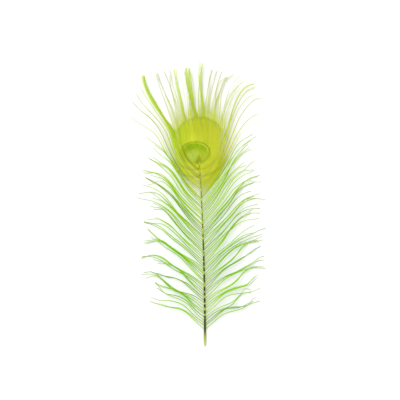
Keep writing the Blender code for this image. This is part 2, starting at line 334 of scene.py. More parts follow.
def lock_room(lock):
    """Half the width that a lock's barbs take up beyond the eye."""
    if lock[0] in HELD:
        return np.interp(STEPS, FORM_STEPS, HELD[lock[0]][3]) * MM
    widest = LOCK_WIDTH / 2 * (LIGHTEST_LOCK + WEIGHT_GAIN * lock[4])
    return widest * (1 - LOCK_THINS * smooth(1.6 * STEPS - 0.6))


# %% Where the barbs of the crown and the eye stand
# Between barbs, in half widths of the eye: 0.5 mm inside it, and 2 mm at the fan's ends
BARB_STEP = [(0, 0.0205), (0.75, 0.022), (1.0, 0.034), (1.3, 0.056), (1.7, 0.085)]
STEP_CHANCE = (0.8, 1.2)
CLOSEST = 0.022  # in a heavy lock
RIGHT_SPREAD = 0.1  # on the right the close vane reaches further


def lock_of(place, locks):
    """The heavy lock that takes a barb in, or else the nearest light one, and which it is."""
    for lock in locks:
        if lock[0] in HELD and HELD[lock[0]][0] < place < HELD[lock[0]][1]:
            return lock, True
    light = [lock for lock in locks if lock[0] not in HELD]
    return min(light, key=lambda lock: abs(lock[0] - place)), False


def barb_places(locks, chance):
    """Where the barbs cross the eye at its widest: close in the eye, further apart beside it."""
    places, at = [], -CROWN_EDGE
    while at < CROWN_EDGE:
        places.append(at)
        step = ladder(BARB_STEP, abs(at) - RIGHT_SPREAD * (at > 0))
        if lock_of(at, locks)[1]:
            step = min(step, CLOSEST)
        at += step * chance.uniform(*STEP_CHANCE)
    return places


# %% How well they took the dye, and painted shade left of the pupil
TONE, TUFT_TONE_CHANCE = 0.55, 0.06
CALM = 0.05  # how far the tone goes up and down in the disc
LEFT_STREAKS, RIGHT_STREAKS, FLANK_STREAKS = 0.1, 0.05, 0.1  # what is added to that further out
RIM_TONE = 0.42  # the least beside the rim, where no barb is dark all along
# Painted shade: places and depths of barbs darkened from the root up to the pupil, for the shadowed
# gap between the disc and its left flank
SHADED_BARBS = [(-0.71, 0.35), (-0.90, 0.35), (-0.98, 0.3), (-1.10, 0.4), (-1.34, 0.3)]
SHADE_REACH = 0.03  # of a dark place, in half widths of the eye


def barb_tone(place, side, tuft_tone, chance):
    """A tone for each step: some barbs left of the pupil get painted shade as far up as the pupil."""
    out = abs(place)
    streaks = CALM + (LEFT_STREAKS if side < 0 else RIGHT_STREAKS) * smooth((out - 0.35) / 0.4)
    streaks += FLANK_STREAKS * smooth((out - 0.85) / 0.25)
    tone = tuft_tone + chance.gauss(0, streaks)
    if place > 0.8 or -1.1 < place < -0.6:
        tone = max(tone, RIM_TONE)
    # Painted shade, deepest at the listed places, full up to 0.3 along the barb and gone by 0.45
    painted_shade = max(depth * max(0, 1 - abs(place - at) / SHADE_REACH) for at, depth in SHADED_BARBS)
    return np.clip(tone - painted_shade * (1 - from_to(0.3, 0.45)), 0, 1)


# %% Barbs of the crown and the eye
EYE_TUFTS, FLANK_TUFTS = (2, 3, 3, 4, 4, 5), (2, 2, 3, 3, 4)
TUFT_HALF_WIDTH = 0.4 * MM
TUFT_FAN_CHANCE, TUFT_TIP_CHANCE, TUFT_REACH = 2.5, 16, (0.86, 1.0)
BARB_TIP_CHANCE, BARB_REACH = 3, (0.9, 1.0)
TUFT_SWING, TUFT_WAVES = (0.4, 2.2), (1.2, 2.6)
BARB_SWING, BARB_WAVES = (0, 0.3), (2, 4)
TUFT_LIFT, BARB_LIFT = 0.5 * MM, 0.15 * MM
STRAYS = 0.08  # the share of barbs that hardly cling
CLINGS, STRAY_CLINGS = 0.97, 0.2


def leaves_eye(middle, heavy):
    """Where along its barbs a tuft starts to gather: at the eye's rim, and sooner beside the eye."""
    at = 0.5 + 0.15 * math.sqrt(1 - min(middle**2, 1)) - 0.32 * smooth((abs(middle) - 1.02) / 0.15)
    return at - 0.06 if heavy and abs(middle) < 0.5 else at


def crown_barbs():
    chance = random.Random(CROWN_SEED + 1)
    locks = crown_locks()
    lock_step = 2 * CROWN_EDGE / (CROWN_LOCKS - 1)
    places = barb_places(locks, chance)
    barbs = []
    while places:
        lock, heavy = lock_of(places[0], locks)
        centre, room = crown_line(*lock[:4]), lock_room(lock)
        size = chance.choice(EYE_TUFTS if abs(places[0]) < 1 else FLANK_TUFTS)
        tuft = list(itertools.takewhile(lambda at: lock_of(at, locks) == (lock, heavy), places))
        tuft = tuft if heavy else tuft[:size]
        places = places[len(tuft):]
        middle = sum(tuft) / len(tuft)
        side = math.copysign(1, middle)
        fan, reach, own_tip = course(middle, side)
        fan += chance.uniform(-TUFT_FAN_CHANCE, TUFT_FAN_CHANCE)
        reach *= chance.uniform(*TUFT_REACH)
        tip = own_tip + chance.uniform(-TUFT_TIP_CHANCE, TUFT_TIP_CHANCE)
        if heavy:
            spine, reach = centre, lock[2]
        else:
            spine = bent(crown_line(middle, fan, reach, tip), chance, TUFT_SWING, TUFT_WAVES, 0.56)
            away = float(np.clip((middle - lock[0]) / (0.5 * lock_step), -1, 1))
            spine = gathered(spine, centre, 1.3 * away * room, 0.2 * from_to(0.64, 0.84))
            room = TUFT_HALF_WIDTH * (1 - 0.5 * STEPS)
        lift = chance.gauss(0, TUFT_LIFT)
        tone = TONE + chance.gauss(0, TUFT_TONE_CHANCE)
        start = leaves_eye(middle, heavy)
        for j, place in enumerate(tuft):
            stray = chance.random() < STRAYS
            own_fan = course(place, side)[0] + chance.uniform(-1, 1) * (4 if stray else 0.5)
            own_reach = reach * chance.uniform(*BARB_REACH)
            turned = own_tip + chance.uniform(-BARB_TIP_CHANCE, BARB_TIP_CHANCE)
            line = crown_line(place, own_fan, own_reach, turned)
            hold = STRAY_CLINGS if stray else CLINGS
            hold = hold * smooth((STEPS - start) / (0.14 if heavy else 0.22))
            hold = hold * (1 - chance.uniform(0.0, 0.4) * from_to(0.88, 1))
            line = gathered(line, spine, room * (2 * (j + 0.5) / len(tuft) - 1), hold)
            line = bent(line, chance, BARB_SWING, BARB_WAVES, 0.64)
            lifted = (lift + chance.gauss(0, BARB_LIFT)) * from_to(0.5, 1)
            heights = np.maximum(crown_heights(place) + lifted, LEAST_HEIGHT)
            barbs.append({
                "line": np.column_stack([line, heights]),
                "place": place,
                "tone": barb_tone(place, side, tone, chance),
                "weight": HELD[lock[0]][2] if heavy and not stray else 0.0,
                "chance": chance.random(),
            })
    return barbs


eye_and_crown = crown_barbs()
print("barbs of the eye and crown:", len(eye_and_crown))

# %% Loose barbs
LOW_STEP, HIGH_STEP = 2.8 * MM, 2.4 * MM  # between loose barbs, by the quill and by the eye
LOW_TUFTS, HIGH_TUFTS = (1, 1, 2, 2, 3), (1, 1, 1, 2)
LOOSE_TONE, LOOSE_TUFT_CHANCE, LOOSE_BARB_CHANCE, LEAST_LOOSE_TONE = 0.52, 0.2, 0.18, 0.2
LOOSE_SWING, LOOSE_BARB_SWING = (0.2, 1.2), (0, 0.5)
LOOSE_STRAYS, LOOSE_CLINGS, LOOSE_STRAY_CLINGS = 0.12, 0.95, 0.3
LOCK_SPREAD = 4 * MM  # how far beside a lock's middle its outer tufts hang
BARB_GAP = 0.8 * MM  # between the barbs of a tuft
RIPPLE, RIPPLES = 0.3 * MM, 2.2


def loose_barbs(side):
    chance = random.Random(LOOSE_SEED + 10 * side)
    locks = loose_locks(side)
    lock_tip = LOCK_WIDTH / 2 * LOCK_DEPTH_SHARE * LOCK_TIP_SHARE
    centres = [loose_line(height, side, *rest) for height, *rest in locks]
    lock_step = locks[1][0] - locks[0][0]
    barbs = []
    up = LOOSE_FIRST - LOW_STEP
    while up < LOOSE_LAST + HIGH_STEP:
        high = up / LOOSE_LAST
        step = LOW_STEP + (HIGH_STEP - LOW_STEP) * high
        size = chance.choice(HIGH_TUFTS if chance.random() < high else LOW_TUFTS)
        middle = up + step * (size - 1) / 2
        k = min(range(LOOSE_LOCKS), key=lambda k: abs(locks[k][0] - middle))
        away = (middle - locks[k][0]) / lock_step
        _, share, turn, phase = locks[k]
        share *= chance.uniform(0.84, 1.0)
        turn += chance.uniform(-14, 14)
        phase += chance.uniform(-0.2, 0.2)
        spine = loose_line(middle, side, share, turn, phase)
        spine = bent(spine, chance, LOOSE_SWING, TUFT_WAVES, 0.3)
        aside = -side * away * LOCK_SPREAD * (1 - 0.6 * STEPS)
        hold = 0.45 * from_to(0, 0.5) * (1 - 0.5 * from_to(0.7, 1))
        spine = gathered(spine, centres[k], aside, hold)
        tone = LOOSE_TONE + chance.gauss(0, LOOSE_TUFT_CHANCE)
        lift = chance.uniform(0.8, 1.08)
        for j in range(size):
            height = up + step * (j + chance.uniform(-0.2, 0.2))
            stray = chance.random() < LOOSE_STRAYS
            own_share = share * chance.uniform(0.86, 1.0)
            own_turn = turn + chance.uniform(-6, 6)
            own_phase = phase + chance.uniform(-0.06, 0.06)
            line = loose_line(height, side, own_share, own_turn, own_phase)
            hold = (LOOSE_STRAY_CLINGS if stray else LOOSE_CLINGS) * from_to(0.06, 0.4)
            hold = hold * (1 - chance.uniform(0.1, 0.8) * from_to(0.72, 1))
            aside = -side * BARB_GAP * (j - (size - 1) / 2) * (1 - 0.4 * STEPS)
            line = gathered(line, spine, aside, hold)
            line = bent(line, chance, LOOSE_BARB_SWING, BARB_WAVES, 0.1)
            heights = loose_heights(shaft_line_height(height), lock_tip) * lift
            ripple = chance.gauss(0, RIPPLE)
            ripple = ripple * np.sin(2 * math.pi * (RIPPLES * STEPS + chance.random()))
            heights = np.maximum(heights + ripple * smooth(3 * STEPS), LEAST_HEIGHT)
            own_tone = np.clip(tone + chance.gauss(0, LOOSE_BARB_CHANCE), LEAST_LOOSE_TONE, 1)
            barbs.append({
                "line": np.column_stack([line, heights]),
                "place": side * (CROWN_EDGE + 1 - height / LOOSE_LAST),
                "tone": own_tone * np.ones(len(STEPS)),
                "weight": 0.0,
                "chance": chance.random(),
            })
        up += step * size
    return barbs


left_vane, right_vane = loose_barbs(-1), loose_barbs(1)
print("loose barbs:", len(left_vane), "left and", len(right_vane), "right")

# %% [markdown]
# ## The eye's pattern
#
# The rings of a peacock's eye are not painted on. Every barbule has one colour for each stretch of
# the barb that it sits on, and the rings appear where neighbouring barbs change colour together.
# So the pattern is measured here, at each barbule's root, and travels on the mesh as attributes:
# "ring" is 1 on the eye's egg-shaped rim, "pupil" is 1 on the outline of the kidney-shaped pupil,
# "lobe" is 1 on the edge of its two pale lobes. A small shift for each barb, by chance, makes the
# rings a little ragged, as where barbs have slipped along each other. The colours come later, from
# ramps in the material.

# %% Measures of the pattern
RING_CENTRE = (-5.8 * MM, 194 * MM)
RING_HALF_WIDTH, RING_TOP, RING_FOOT = 24.4 * MM, 22 * MM, 42 * MM
RING_TILT = math.radians(7)
PUPIL_CENTRE = (-9.6 * MM, 181.0 * MM)
PUPIL_HALF_WIDTH, PUPIL_TOP, PUPIL_FOOT = 15.2 * MM, 10.6 * MM, 12.0 * MM
LEFT_LOBE = ((-12.6 * MM, 177.6 * MM), 6.2 * MM, 8.2 * MM)
RIGHT_LOBE = ((-1.4 * MM, 178.2 * MM), 3.6 * MM, 6.6 * MM)
RIGHT_LOBE_FAINT = 0.85  # the right lobe's least value, as it is less pale


def egg(x, y, centre, half_width, top, foot, tilt=0.0):
    """1 on the outline of an egg."""
    across = (x - centre[0]) * math.cos(tilt) + (y - centre[1]) * math.sin(tilt)
    along = (y - centre[1]) * math.cos(tilt) - (x - centre[0]) * math.sin(tilt)
    along = np.abs(along) / np.where(along > 0, top, foot)
    return np.hypot(across / half_width, along)


def pattern(x, y):
    """Ring, pupil and lobe, each 1 on its own outline and less inside."""
    ring = egg(x, y, RING_CENTRE, RING_HALF_WIDTH, RING_TOP, RING_FOOT, RING_TILT)
    pupil = egg(x, y, PUPIL_CENTRE, PUPIL_HALF_WIDTH, PUPIL_TOP, PUPIL_FOOT)
    left, right = [egg(x, y, *lobe, lobe[2]) for lobe in (LEFT_LOBE, RIGHT_LOBE)]
    lobe = np.minimum(left, RIGHT_LOBE_FAINT + (1.1 - RIGHT_LOBE_FAINT) * right)
    return ring, pupil, lobe


# %% [markdown]
# ## Meshes from arrays
#
# Tens of thousands of barbules would be slow as single objects, and particle hair is lost when a
# model is exported. So all barbs of a region are one mesh, filled from arrays, and so are all
# barbules. The helper below takes the points, the faces, and a table with a row for each point and
# a column for each measure. It also lays every face flat from above into one square map, because
# the colours depend on the place in plan.

# %% Helper: a piece from arrays
MAP_CORNER = np.array([-100 * MM, -20 * MM])
MAP_SIDE = 300 * MM
MEASURES = ("along", "tone", "weight", "ring", "pupil", "lobe", "fringe")


def rows_of(values, stations, times):
    """A table of values, each given at every station or once for all, with each row repeated."""
    columns = [np.broadcast_to(value, stations) for value in values]
    return np.repeat(np.column_stack(columns), times, axis=0)


def piece_from_arrays(name, points, faces, told):
    mesh = bpy.data.meshes.new(name)
    corners = np.concatenate([f.ravel() for f in faces]).astype(np.int32)
    sizes = np.concatenate([np.full(len(f), f.shape[1]) for f in faces])
    starts = np.concatenate([[0], np.cumsum(sizes)[:-1]]).astype(np.int32)
    mesh.vertices.add(len(points))
    mesh.vertices.foreach_set("co", points.astype(np.float32).ravel())
    mesh.loops.add(len(corners))
    mesh.loops.foreach_set("vertex_index", corners)
    mesh.polygons.add(len(sizes))
    mesh.polygons.foreach_set("loop_start", starts)
    mesh.update(calc_edges=True)
    mesh.validate()
    for key, values in zip(MEASURES, told.T):
        kept = mesh.attributes.new(key, "FLOAT", "POINT")
        kept.data.foreach_set("value", values.astype(np.float32))
    places = (points[corners, :2] - MAP_CORNER) / MAP_SIDE
    flat = mesh.uv_layers.new(name="OFBake")
    flat.data.foreach_set("uv", places.astype(np.float32).ravel())
    mesh.shade_smooth()
    piece = bpy.data.objects.new(name, mesh)
    bpy.context.scene.collection.objects.link(piece)
    print(f"{name}: {int((sizes - 2).sum())} triangles")
    return piece


# %% [markdown]
# ## The barbs themselves
#
# A barb is a stiff thread, about half a millimetre wide where it leaves the shaft. Its section is
# a low roof: flat below, with a ridge on top, which gives it a lit and a shaded side. Three points
# a station are enough for that. Both ends are closed.

# %% Barb meshes
BARB_ROOT_HALF = 0.24 * MM
BARB_TIP_HALF = 0.09 * MM
ROOF = np.array([(-1.0, -0.45), (1.0, -0.45), (0.0, 0.85)])
PATTERN_SLIP = 0.06  # how far the rings are out of step from barb to barb


def barb_half_width(barb, along):
    half = BARB_ROOT_HALF + (BARB_TIP_HALF - BARB_ROOT_HALF) * along**0.7
    return half * (0.85 + 0.3 * barb["chance"])


def directions(line):
    """Unit vectors along a line in space, and level ones to its right."""
    along = np.gradient(line, axis=0)
    along /= np.linalg.norm(along, axis=1)[:, None]
    right = np.column_stack([along[:, 1], -along[:, 0], np.zeros(len(line))])
    return along, right / np.linalg.norm(right, axis=1)[:, None]


def travelled(line):
    """How far along the line each of its points is, in metres."""
    return np.concatenate([[0], np.cumsum(np.linalg.norm(np.diff(line, axis=0), axis=1))])


def grow_barbs(name, barbs):
    points, told, quads, caps = [], [], [], []
    first = 0
    for barb in barbs:
        line = barb["line"]
        reached = travelled(line)
        along = reached / reached[-1]
        _, right = directions(line)
        half = barb_half_width(barb, along)
        rows = [line + half[:, None] * (across * right + [0, 0, high]) for across, high in ROOF]
        points.append(np.stack(rows, axis=1).reshape(-1, 3))
        station = first + 3 * np.arange(len(line) - 1)[:, None]
        for a, b in ((0, 1), (1, 2), (2, 0)):
            quads.append(station + np.array([[a, b, b + 3, a + 3]]))
        last = first + 3 * (len(line) - 1)
        caps += [[first, first + 2, first + 1], [last, last + 1, last + 2]]
        first += 3 * len(line)
        slip = PATTERN_SLIP * (barb["chance"] - 0.5)
        ring, pupil, lobe = [v + slip for v in pattern(line[:, 0], line[:, 1])]
        values = (along, barb["tone"], barb["weight"], ring, pupil, lobe)
        told.append(rows_of(values, len(line), 3))
    faces = [np.vstack(quads), np.array(caps)]
    return piece_from_arrays(name, np.vstack(points), faces, np.vstack(told))


eye_threads, left_threads, right_threads = [
    grow_barbs(name + "_barbs", barbs)
    for name, barbs in (("crown", eye_and_crown), ("left", left_vane), ("right", right_vane))
]

# %% [markdown]
# ## Barbules
#
# A barbule is a flat hair about a millimetre long that leaves its barb at a steep angle and bends
# forward. Here it is a blade of three triangles. Real ones stand 20 to a millimetre, finer than
# any picture shows, so the blades are wider and set further apart than that: where the vane is
# closed, in the eye, they still overlap, and where it is loose they leave gaps.

# %% Barbule meshes
LEAVE, LEAVE_CHANCE = 58, 6  # degrees from the barb at a barbule's root
FINISH, FINISH_CHANCE = 30, 8  # and at its tip
LIFT, FALL = 0.05, -0.04  # how far a barbule rises and then sinks, as shares of its length
NARROWS = 0.8  # its width half way, as a share of that at its root
BARBULE_TONE_CHANCE = 0.07
LOWEST = 0.05 * MM
UP = np.array([0, 0, 1.0])


def grow_barbules(name, barbs, rule, seed, flatness, keep):
    """Blades on both sides of each barb. The rule gives their spacing, length and width in mm, and
    keep says which blades belong to this piece, both by the barb and where along it they sit."""
    rng = np.random.default_rng(seed)
    points, told = [], []
    for barb in barbs:
        line = barb["line"]
        reached = travelled(line)
        along, to_right = directions(line)
        shown = (*pattern(line[:, 0], line[:, 1]), barb["tone"])
        gap = rule(barb, reached / reached[-1], shown[0])[0] * MM * np.ones(len(line))
        counted = np.concatenate([[0], np.cumsum(np.diff(reached) / ((gap[1:] + gap[:-1]) / 2))])
        for side in (-1, 1):
            stops = np.arange(rng.uniform(0.2, 1), counted[-1], 1)
            stops = stops + rng.uniform(-0.3, 0.3, len(stops))
            spot = np.interp(stops, counted, reached)
            root, lean, right = [
                np.column_stack([np.interp(spot, reached, v[:, a]) for a in range(3)])
                for v in (line, along, to_right)
            ]
            at = spot / reached[-1]
            ring, pupil, lobe, tone = [np.interp(spot, reached, v) for v in shown]
            inside = np.ones(len(spot), bool) if keep is None else keep(barb, at, ring)
            root, lean, right, at, ring, pupil, lobe, tone = [
                v[inside] for v in (root, lean, side * right, at, ring, pupil, lobe, tone)
            ]
            n = len(at)
            _, length, width = rule(barb, at, ring)
            reach = (length * MM * rng.uniform(0.8, 1.15, n))[:, None]
            half = (width * MM / 2 * rng.uniform(0.85, 1.15, n))[:, None]
            leave = np.radians(rng.normal(LEAVE, LEAVE_CHANCE, n))[:, None]
            finish = np.radians(rng.normal(FINISH, FINISH_CHANCE, n))[:, None]
            lift = rng.normal(LIFT, flatness, n)[:, None] * UP
            fall = rng.normal(FALL, flatness, n)[:, None] * UP
            middle = root + reach / 2 * (lean * np.cos(leave) + right * np.sin(leave) + lift)
            tip = middle + reach / 2 * (lean * np.cos(finish) + right * np.sin(finish) + fall)
            half = lean * half
            blade = [root - half, middle - half * NARROWS, tip, middle + half * NARROWS, root + half]
            points.append(np.stack(blade[::side], axis=1).reshape(-1, 3))
            slip = PATTERN_SLIP * (barb["chance"] - 0.5)
            tone = np.clip(tone + rng.normal(0, BARBULE_TONE_CHANCE, n), 0, 1)
            values = (at, tone, barb["weight"], ring + slip, pupil + slip, lobe + slip)
            fringe = np.tile([0, 0.5, 1, 0.5, 0], n)
            told.append(np.column_stack([rows_of(values, n, len(blade)), fringe]))
    points = np.vstack(points)
    points[:, 2] = np.maximum(points[:, 2], LOWEST)
    base = 5 * np.arange(len(points) // 5)[:, None]
    faces = [base + [[0, 1, 3, 4]], base + [[1, 2, 3]]]
    return piece_from_arrays(name, points, faces, np.vstack(told))


# %% [markdown]
# In the eye the barbules get shorter by the rim, where the barbs lie closer. Beside the eye they
# nearly close the vane, most so on the right, and in the crown only a fringe is left. On a loose
# barb they are longest half way up.

# %% Barbules, region by region
def in_eye(barb, at, ring):
    return (ring < 1.02) & (abs(barb["place"]) < 1.12)


def beyond_eye(barb, at, ring):
    return ~in_eye(barb, at, ring)


def eye_rule(barb, at, ring):
    return 0.27, 0.85 - 0.4 * smooth((abs(barb["place"]) - 0.6) / 0.45), 0.24


def crown_rule(barb, at, ring):
    by_rim = 1 - smooth((ring - 1.0) / 0.9)
    on_flank = smooth((abs(barb["place"]) - 0.8) / 0.3)
    beside = 0.33 + 0.4 * smooth((barb["place"] - 0.9) / 0.2) * smooth(at / 0.25)
    length = 0.28 + 0.5 * barb["weight"] + beside * by_rim + 0.1 * on_flank
    width = 0.18 + 0.06 * by_rim + 0.08 * on_flank + 0.08 * barb["weight"]
    return 0.36 - 0.1 * by_rim, length, width


def loose_rule(barb, at, ring):
    length = 0.62 + 0.18 * smooth(at / 0.4) - 0.38 * smooth((at - 0.55) / 0.45)
    return 0.24 + 0.1 * smooth((at - 0.5) / 0.5), length, 0.4 + 0.14 * (1 - smooth(at / 0.6))


eye_barbules, crown_barbules, left_barbules, right_barbules = [
    grow_barbules(name + "_barbules", barbs, rule, seed, flatness, keep)
    for name, barbs, rule, seed, flatness, keep in (
        ("eye", eye_and_crown, eye_rule, 21, 0.05, in_eye),
        ("crown", eye_and_crown, crown_rule, 22, 0.1, beyond_eye),
        ("left", left_vane, loose_rule, 23, 0.12, None),
        ("right", right_vane, loose_rule, 24, 0.12, None),
    )
]

# %% [markdown]
# ## Quill and shaft
#
# The shaft is a horn tube, flattened below, that thins out to nothing in the eye. It is drawn as by
# hand: a circle is added at the cut end of the quill, extruded from station to station along the
# bow, and scaled and turned at each one. Then the underside is pressed flat on the table, the cut
# end gets the small hollow that a real quill shows, and a subdivision surface rounds it all.

# %% Draw the shaft
SHAFT_SIDES = 12
SHAFT_STATIONS = 26


def look_along(height):
    return math.radians(shaft_lean(height))


bpy.ops.object.select_all(action="DESELECT")
start = -QUILL_LENGTH
bpy.ops.mesh.primitive_circle_add(
    vertices=SHAFT_SIDES, radius=QUILL_WIDTH / 2, fill_type="NGON",
    location=(shaft_x(start), start, shaft_line_height(start)),
    rotation=(math.radians(90), 0, -look_along(start)),
)
shaft = bpy.context.object
shaft.name = shaft.data.name = "quill_and_shaft"
bpy.ops.object.transform_apply(location=True, rotation=True, scale=True)
bpy.ops.object.mode_set(mode="EDIT")
bpy.ops.mesh.select_all(action="SELECT")
stations = np.concatenate([[start], np.linspace(0, SHAFT_LENGTH, SHAFT_STATIONS)])
for low, high in zip(stations, stations[1:]):
    place = np.array([shaft_x(high), high, shaft_line_height(high)])
    move = place - [shaft_x(low), low, shaft_line_height(low)]
    thinner = shaft_half_width(high) / shaft_half_width(low)
    bpy.ops.mesh.extrude_region_move(TRANSFORM_OT_translate={"value": tuple(move)})
    bpy.ops.transform.resize(value=(thinner,) * 3, center_override=tuple(place))
    bpy.ops.transform.rotate(
        value=look_along(high) - look_along(low), orient_axis="Z", center_override=tuple(place)
    )
bpy.ops.object.mode_set(mode="OBJECT")
print("shaft drawn with", len(shaft.data.vertices), "points")

# %% Flatten it, hollow the cut end, and round it
HOLLOW_DEPTH = 3 * MM
WALL_SHARE = 0.62


def choose(test):
    """Selects the faces whose middle passes the test, and nothing else."""
    bpy.ops.object.mode_set(mode="EDIT")
    bpy.ops.mesh.select_all(action="DESELECT")
    bpy.ops.object.mode_set(mode="OBJECT")
    for face in shaft.data.polygons:
        face.select = test(face)
    bpy.ops.object.mode_set(mode="EDIT")


for vert in shaft.data.vertices:
    depth = shaft_line_height(vert.co.y)
    level = (vert.co.z - depth) * SHAFT_DEPTH_SHARE
    vert.co.z = depth + max(level, -depth * 0.995)
choose(lambda face: face.normal.y < -0.9)
bpy.ops.mesh.select_mode(type="FACE")
bpy.ops.mesh.inset(thickness=(1 - WALL_SHARE) * QUILL_WIDTH / 2)
bpy.ops.mesh.extrude_region_move(TRANSFORM_OT_translate={"value": (0, HOLLOW_DEPTH, 0)})
bpy.ops.mesh.select_all(action="SELECT")
bpy.ops.mesh.normals_make_consistent(inside=False)
bpy.ops.object.mode_set(mode="OBJECT")
rounded = shaft.modifiers.new("rounded", "SUBSURF")
rounded.levels = rounded.render_levels = 2
bpy.ops.object.modifier_apply(modifier=rounded.name)
bpy.ops.object.shade_smooth()
lowest = min(vert.co.z for vert in shaft.data.vertices)
print(f"shaft: {len(shaft.data.polygons)} faces, underside at {lowest / MM:.2f} mm")

# %% [markdown]
# The shaft's top is a dark stripe between paler flanks. Where a point of the shaft lies between
# its left and right edge goes on the mesh as "across", from -1 to 1. Within the eye the shaft
# has the eye's own colours, so it gets the pattern's measures too.

# %% Measure across the shaft
SHAFT_TONE = 0.25  # a little darker than the barbs beside it
sideways, up = np.array([vert.co[:2] for vert in shaft.data.vertices]).T
told = dict(zip(("ring", "pupil", "lobe"), pattern(sideways, up)))
told["across"] = (sideways - shaft_x(up)) / shaft_half_width(up)
told["tone"] = np.full(len(up), SHAFT_TONE)
for name, values in told.items():
    kept = shaft.data.attributes.new(name, "FLOAT", "POINT")
    kept.data.foreach_set("value", values.astype(np.float32))
print("across runs from", *[round(float(end(told["across"])), 2) for end in (np.min, np.max)])

# %% [markdown]
# ## Materials: dyed keratin
#
# All of the feather is keratin, the stuff of horn and nails: IOR about 1.55, clear to milky, with a
# soft gloss. Bleaching took the bird's own colours and structure, and an acid dye made it lime. A
# barbule is so thin that light comes through it, so each barbule material is part translucent.

# %% Colour and node helpers
def linear(code):
    """An sRGB hex colour as linear RGBA."""
    channels = [int(code[i:i + 2], 16) / 255 for i in (1, 3, 5)]
    return [c / 12.92 if c <= 0.04045 else ((c + 0.055) / 1.055) ** 2.4 for c in channels] + [1]


# The sockets in use, where they aren't the first ones: a Mix node has others for plain numbers
INPUTS = {"Mix": (0, 6, 7)}
OUTPUTS = {"Mix": 2, "Attribute": "Fac", "TexCoord": "Object"}


def add(tree, kind, settings, *inputs, output=None, **named):
    """Adds a node, sets its properties, or a colour ramp's stops, and its inputs, in their order or
    by name, links an input that is another node's output, and gives the new node's output."""
    made = tree.nodes.new("ShaderNode" + kind)
    if kind == "ValToRGB":
        while len(made.color_ramp.elements) < len(settings):
            made.color_ramp.elements.new(1)
        for element, (at, colour) in zip(made.color_ramp.elements, settings):
            element.position = at
            element.color = linear(colour) if isinstance(colour, str) else (*(colour,) * 3, 1)
    else:
        for key, value in settings.items():
            setattr(made, key, value)
    named = {key.replace("_", " "): value for key, value in named.items()}
    for key, value in [*zip(INPUTS.get(kind, itertools.count()), inputs), *named.items()]:
        if isinstance(value, bpy.types.NodeSocket):
            tree.links.new(value, made.inputs[key])
        else:
            made.inputs[key].default_value = linear(value) if isinstance(value, str) else value
    return made.outputs[output or OUTPUTS.get(kind, 0)] if made.outputs else None


def new_material(name):
    """A material without nodes, and add for its own tree."""
    made = bpy.data.materials.new(name)
    made.use_nodes = True
    made.node_tree.nodes.clear()
    return made, functools.partial(add, made.node_tree)


# %% [markdown]
# The eye and crown share one colour, laid over in turns as the pattern is: the disc with its rim,
# then the pupil with its lobes and outlines, and outside the rim the crown, which fades towards the
# tips. It is used on the barbules and, a little darker, on the barbs.

# %% The eye's and crown's colour
MIX = {"data_type": "RGBA"}
TINT = {"data_type": "RGBA", "blend_type": "MULTIPLY"}
TIMES = {"operation": "MULTIPLY"}


def dyed(node, vane, tone, shades, strength, end, end_colour):
    """Each barb took the dye a little differently, some carry painted shade, and a barbule is palest
    at its end.
    """
    shade = node("ValToRGB", shades, tone)
    vane = node("Mix", TINT, strength, vane, shade)
    return node("Mix", MIX, end, vane, end_colour)


